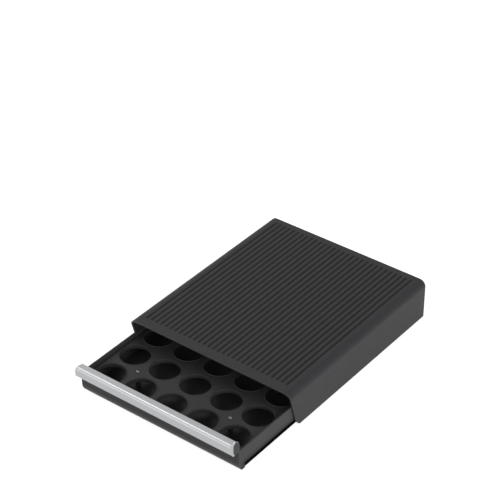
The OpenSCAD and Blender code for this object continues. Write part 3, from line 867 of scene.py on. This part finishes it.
def makeStrip():
    low, high = [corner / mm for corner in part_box("handle_strip")]
    face, bottom, top = low.y, low.z, high.z
    earBack = face + strip["earDepth"]
    earCorners = [(face + strip["hem"], bottom, 0), (face, bottom, strip["footRadius"]),
                  (face, top, strip["earFrontRadius"]), (earBack, top, strip["earRearRadius"]),
                  (earBack, bottom + strip["legLift"], 0)]

    def outside(share):
        # between the bar's section and the ear's
        return bend([[a + (b - a) * share for a, b in zip(bar, ear)]
                     for bar, ear in zip(barCorners(0), earCorners)])

    channel = bend(barCorners(strip["metal"]))
    rise = strip["earInner"] - strip["ramp"]
    sections = [(low.x, outside(0), channel)]
    for step in range(strip["rampSteps"] + 1):
        share = step / strip["rampSteps"]
        risen = 1 - math.sqrt(1 - share * share)
        sections.append((rise + strip["ramp"] * share, outside(risen), channel))
    earOuter = high.x - strip["pocket"]
    sections.append((earOuter, outside(1), channel))

    # the rim round the post starts inside the ear, so the two shells overlap
    rim, rimEnd = strip["rim"], face + strip["rimEnd"]
    rimOuter = bend([*earCorners[1:3], (rimEnd, top, 0)])
    rimInner = bend([(face + rim + strip["postLean"], bottom, 0),
                     (face + rim, top - rim, strip["earFrontRadius"] - rim),
                     (rimEnd, top - strip["rimTip"], 0)])
    sunk = blend(rimOuter, rimInner, strip["rimSinkShare"])
    rounded = blend(rimOuter, rimInner, strip["rimRoundShare"])
    rimSections = [(earOuter - strip["rimSink"], sunk, rimInner), (earOuter, rimOuter, rimInner),
                   (high.x - strip["rimRound"], rimOuter, rimInner), (high.x, rounded, rimInner)]
    mesh = bmesh.new()
    addLoft(mesh, sections)
    addLoft(mesh, rimSections)
    bmesh.ops.recalc_face_normals(mesh, faces=mesh.faces)
    return pieceFrom(mesh, "silver_strip")


silverStrip = makeStrip()
soften(silverStrip, 0, brushedSilver)
seat(silverStrip, "drawer", "brushed_silver", "handle_strip")


def lathe(profile, sides=32):
    # a closed turned shape from (radius, height) pairs in mm, first and last on the axis
    mesh = bmesh.new()
    rings = []
    for radius, height in profile:
        turns = [2 * math.pi * k / sides for k in range(sides if radius else 1)]
        spots = [(radius * math.cos(turn) * mm, radius * math.sin(turn) * mm, height * mm)
                 for turn in turns]
        rings.append([mesh.verts.new(spot) for spot in spots])
    for ring, following in zip(rings, rings[1:]):
        for k in range(sides):
            corners = [ring[k % len(ring)], ring[(k + 1) % len(ring)],
                       following[(k + 1) % len(following)], following[k % len(following)]]
            mesh.faces.new(list(dict.fromkeys(corners)))
    bmesh.ops.recalc_face_normals(mesh, faces=mesh.faces)
    return pieceFrom(mesh, "turned")


def addRows(tree, wires):
    # copies of the item in columns along X and rows along Y
    index = out(tree, addNode(tree, "GeometryNodeInputIndex"))
    row = ((index + 0.5) / wires["Columns"]).math("FLOOR")
    column = index - row * wires["Columns"]
    spots = addNode(tree, "GeometryNodeMeshLine", {"Count": wires["Columns"] * wires["Rows"]})
    x = wires["First X"] + column * wires["Pitch X"]
    y = wires["First Y"] + row * wires["Pitch Y"]
    place = xyz(tree, x, y, wires["Height"])
    placed = addNode(tree, "GeometryNodeSetPosition", {"Geometry": out(tree, spots), "Position": place})
    item = addNode(tree, "GeometryNodeObjectInfo", {"Object": wires["Item"]})
    turn = xyz(tree, wires["Tilt"], 0.0, 0.0)
    return copiesOn(tree, out(tree, placed), out(tree, item, "Geometry"), turn)


def rowInputs(node, item, material, columns, rows, reach, tilt=0.0, height=None, rowY=None):
    # places spread evenly over the box of a node, reach in from its ends
    low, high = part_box(node)
    middle = (low + high) / 2
    counts = (columns, rows)
    first = [low[i] + reach * mm if count > 1 else middle[i] for i, count in enumerate(counts)]
    pitch = [(high[i] - low[i] - 2 * reach * mm) / (count - 1) if count > 1 else 0.0
             for i, count in enumerate(counts)]
    return {"Item": item, "Columns": columns, "Rows": rows, "Pitch X": pitch[0], "Pitch Y": pitch[1],
            "First X": first[0], "First Y": first[1] if rowY is None else rowY,
            "Height": low.z if height is None else height, "Tilt": math.radians(tilt),
            "Material": material}


def spread(name, body, slot, node, item, material, edge, **where):
    inputs = rowInputs(node, item, material, **where)
    tree, wires = newTree("rows", inputs)
    closeTree(tree, wires, addRows(tree, wires))
    piece = grow(name, tree, inputs)
    bpy.data.objects.remove(item)
    soften(piece, edge, material)
    seat(piece, body, slot, node)


screw = {  # mm
    "head": 2.8,  # radius, as the next two are
    "shank": 1.4,
    "tip": 0.56,
    "tipLength": 1.5,
    "domeHeight": 1.8,
    "domeEdge": 0.4,  # height of the upright edge under the dome
    "domeStep": 15,  # degrees
    "domeRecess": 1.1,  # depth of the cross recess
    "coneHeight": 1.5,
    "coneBevel": (0.1, 0.12),  # across and along, at the rim of a countersunk head
    "coneRecess": 0.9,
    "slotLength": 3.2,  # of one arm of the cross, from end to end
    "slotWidth": 0.75,
    "slotTaper": 0.6,  # share of its size that is left at the bottom
    "cutterLift": 0.5,  # the cutter stands this far out of the head
    "deckLength": 12.0,
    "frontLength": 7.0,
    "rearLength": 12.0,
    "deckGap": 0.02,  # between a domed head and the deck
    "edge": 0.08,
}


def cutCross(piece, wideEnd, narrowEnd):
    # a tapered cross recess between two heights
    slotLength, slotWidth = screw["slotLength"], screw["slotWidth"]
    for sizeX, sizeY in ((slotLength, slotWidth), (slotWidth, slotLength)):
        mesh = bmesh.new()
        bmesh.ops.create_cube(mesh, size=1)
        for vert in mesh.verts:
            isWide = vert.co.z > 0
            taper = 1 if isWide else screw["slotTaper"]
            height = wideEnd if isWide else narrowEnd
            vert.co = Vector((vert.co.x * sizeX * taper, vert.co.y * sizeY * taper, height)) * mm
        bmesh.ops.recalc_face_normals(mesh, faces=mesh.faces)
        cutter = pieceFrom(mesh, "cutter")
        hole = piece.modifiers.new("recess", "BOOLEAN")
        hole.operation = "DIFFERENCE"
        hole.solver = "EXACT"
        hole.object = cutter
        bake(piece)
        bpy.data.objects.remove(cutter)
    collapse(piece.data, near["recess"])
    return piece


def domedScrew(length):
    # the head's underside is at height 0
    head, shank, tip = screw["head"], screw["shank"], screw["tip"]
    edge, dome = screw["domeEdge"], screw["domeHeight"]
    turns = [math.radians(angle) for angle in range(0, 90, screw["domeStep"])]
    arc = [(head * math.cos(turn), edge + (dome - edge) * math.sin(turn)) for turn in turns]
    item = lathe([(0, -length), (tip, -length), (shank, screw["tipLength"] - length), (shank, 0),
                  (head, 0), *arc, (0, dome)])
    return cutCross(item, dome + screw["cutterLift"], dome - screw["domeRecess"])


def flatScrew(length):
    # the head's face is at height 0, and the shank points up
    head, shank, tip = screw["head"], screw["shank"], screw["tip"]
    bevelAcross, bevelAlong = screw["coneBevel"]
    item = lathe([(0, 0), (head - bevelAcross, 0), (head, bevelAlong), (shank, screw["coneHeight"]),
                  (shank, length - screw["tipLength"]), (tip, length), (0, length)])
    return cutCross(item, -screw["cutterLift"], screw["coneRecess"])


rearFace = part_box("rear_panel_screws")
spread("deck_screw_set", "drawer", "screw_steel", "deck_screws", domedScrew(screw["deckLength"]),
       screwSteel, screw["edge"], columns=2, rows=3, reach=screw["head"],
       height=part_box("pod_deck")[1].z + screw["deckGap"] * mm)
spread("front_screw_set", "drawer", "screw_steel", "front_screws", flatScrew(screw["frontLength"]),
       screwSteel, screw["edge"], columns=4, rows=1, reach=screw["head"])
spread("rear_screw_set", "housing", "screw_steel", "rear_panel_screws", flatScrew(screw["rearLength"]),
       screwSteel, screw["edge"], columns=4, rows=1, reach=screw["head"], tilt=90,
       height=(rearFace[0].z + rearFace[1].z) / 2, rowY=rearFace[1].y)

pads = {  # mm
    # sections as (radius, height) pairs, from the middle of the outer face round to the pin's end
    "foot": [(0, 0.3), (3.2, 0.3), (3.6, 0), (8.4, 0), (9, 0.4), (9, 1.4), (2.5, 1.4), (2.5, 2.6),
             (0, 2.6)],
    "bumper": [(0, 0), (3.9, 0), (4.7, 0.2), (5, 0.6), (5, 1), (2, 1), (2, 2.4), (0, 2.4)],
    "footRadius": 9.0,
    "footSides": 48,
    "bumperRadius": 5.0,
    "edge": 0.15,
}
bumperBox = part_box("rear_bumpers")
spread("foot_pads", "housing", "foot_rubber", "feet", lathe(pads["foot"], pads["footSides"]),
       footRubber, pads["edge"], columns=2, rows=2, reach=pads["footRadius"])
spread("bumper_pads", "housing", "foot_rubber", "rear_bumpers", lathe(pads["bumper"]),
       footRubber, pads["edge"], columns=2, rows=1, reach=pads["bumperRadius"], tilt=-90,
       height=(bumperBox[0].z + bumperBox[1].z) / 2, rowY=bumperBox[0].y)

deck = {  # mm
    "columns": 5,
    "rows": 6,
    "pitchX": 52.3,
    "pitchY": 50.9,
    "firstRow": 37.5,  # from the strip's face
    "hole": 21.5,  # radius
    "sides": 48,
    # section of a well's rim: out from the hole's edge, and up from the deck's upper face
    "lip": [(2.6, 0), (2.0, 0.02), (1.65, 0.25), (1.3, 0.55), (0.8, 0.62), (0.35, 0.45), (0.08, 0.1),
            (0, -0.4)],
    "collar": [(0, -5.2), (0.15, -5.7), (0.55, -5.9), (0.95, -5.6), (1.05, -2.6), (1.5, -2.05),
               (2.6, -2.0)],
}


def wellTile():
    # one cell of the deck with its round well
    low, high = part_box("pod_deck")
    top, bottom = high.z / mm, low.z / mm
    mesh = bmesh.new()

    def ring(height, radius=None):
        # a circle, or the cell's outline where there is no radius
        verts = []
        for k in range(deck["sides"]):
            turn = 2 * math.pi * k / deck["sides"]
            x, y = math.cos(turn), math.sin(turn)
            if radius is None:
                reach = 0.5 / max(abs(x), abs(y))
                x, y = x * reach * deck["pitchX"], y * reach * deck["pitchY"]
            else:
                x, y = x * radius, y * radius
            verts.append(mesh.verts.new((x * mm, y * mm, height * mm)))
        return verts

    rings = [ring(top)]
    rings += [ring(top + up, deck["hole"] + across) for across, up in deck["lip"] + deck["collar"]]
    rings.append(ring(bottom))
    for outer, inner in zip(rings, rings[1:]):
        for k in range(deck["sides"]):
            following = (k + 1) % deck["sides"]
            mesh.faces.new((outer[k], outer[following], inner[following], inner[k]))
    for face in mesh.faces:
        face.smooth = True
    return pieceFrom(mesh, "tile")


def deckInputs(tile):
    low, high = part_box("pod_deck")
    return {"Item": tile, "Columns": deck["columns"], "Rows": deck["rows"],
            "First X": (1 - deck["columns"]) / 2 * deck["pitchX"] * mm,
            "First Y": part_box("handle_strip")[0].y + deck["firstRow"] * mm,
            "Pitch X": deck["pitchX"] * mm, "Pitch Y": deck["pitchY"] * mm, "Height": 0.0, "Tilt": 0.0,
            "Left": low.x, "Right": high.x, "Front": low.y, "Back": high.y, "Material": blackPlastic}


def deckTree(inputs):
    # the outermost cells are cut back to the deck's edges
    tree, wires = newTree("wellDeck", inputs)
    real = addNode(tree, "GeometryNodeRealizeInstances", {"Geometry": addRows(tree, wires)})
    x, y, z = pointPlaces(tree)
    x = x.math("MINIMUM", wires["Right"]).math("MAXIMUM", wires["Left"])
    y = y.math("MINIMUM", wires["Back"]).math("MAXIMUM", wires["Front"])
    cut = addNode(tree, "GeometryNodeSetPosition", {"Geometry": out(tree, real),
                                                    "Position": xyz(tree, x, y, z)})
    joined = addNode(tree, "GeometryNodeMergeByDistance", {"Geometry": out(tree, cut),
                                                           "Distance": near["grown"] * mm})
    closeTree(tree, wires, out(tree, joined))
    return tree


def makeDeck():
    tile = wellTile()
    inputs = deckInputs(tile)
    piece = grow("well_deck", deckTree(inputs), inputs)
    bpy.data.objects.remove(tile)
    mesh = bmesh.new()
    mesh.from_mesh(piece.data)
    bmesh.ops.dissolve_degenerate(mesh, edges=mesh.edges, dist=near["deck"] * mm)
    border = [edge for edge in mesh.edges if edge.is_boundary]
    bmesh.ops.bridge_loops(mesh, edges=border)
    bmesh.ops.recalc_face_normals(mesh, faces=mesh.faces)
    print("deck border", len(border), "left open", sum(edge.is_boundary for edge in mesh.edges))
    mesh.to_mesh(piece.data)
    mesh.free()
    return piece


wellDeck = makeDeck()
soften(wellDeck, 0, blackPlastic)
seat(wellDeck, "drawer", "black_plastic", "pod_deck")
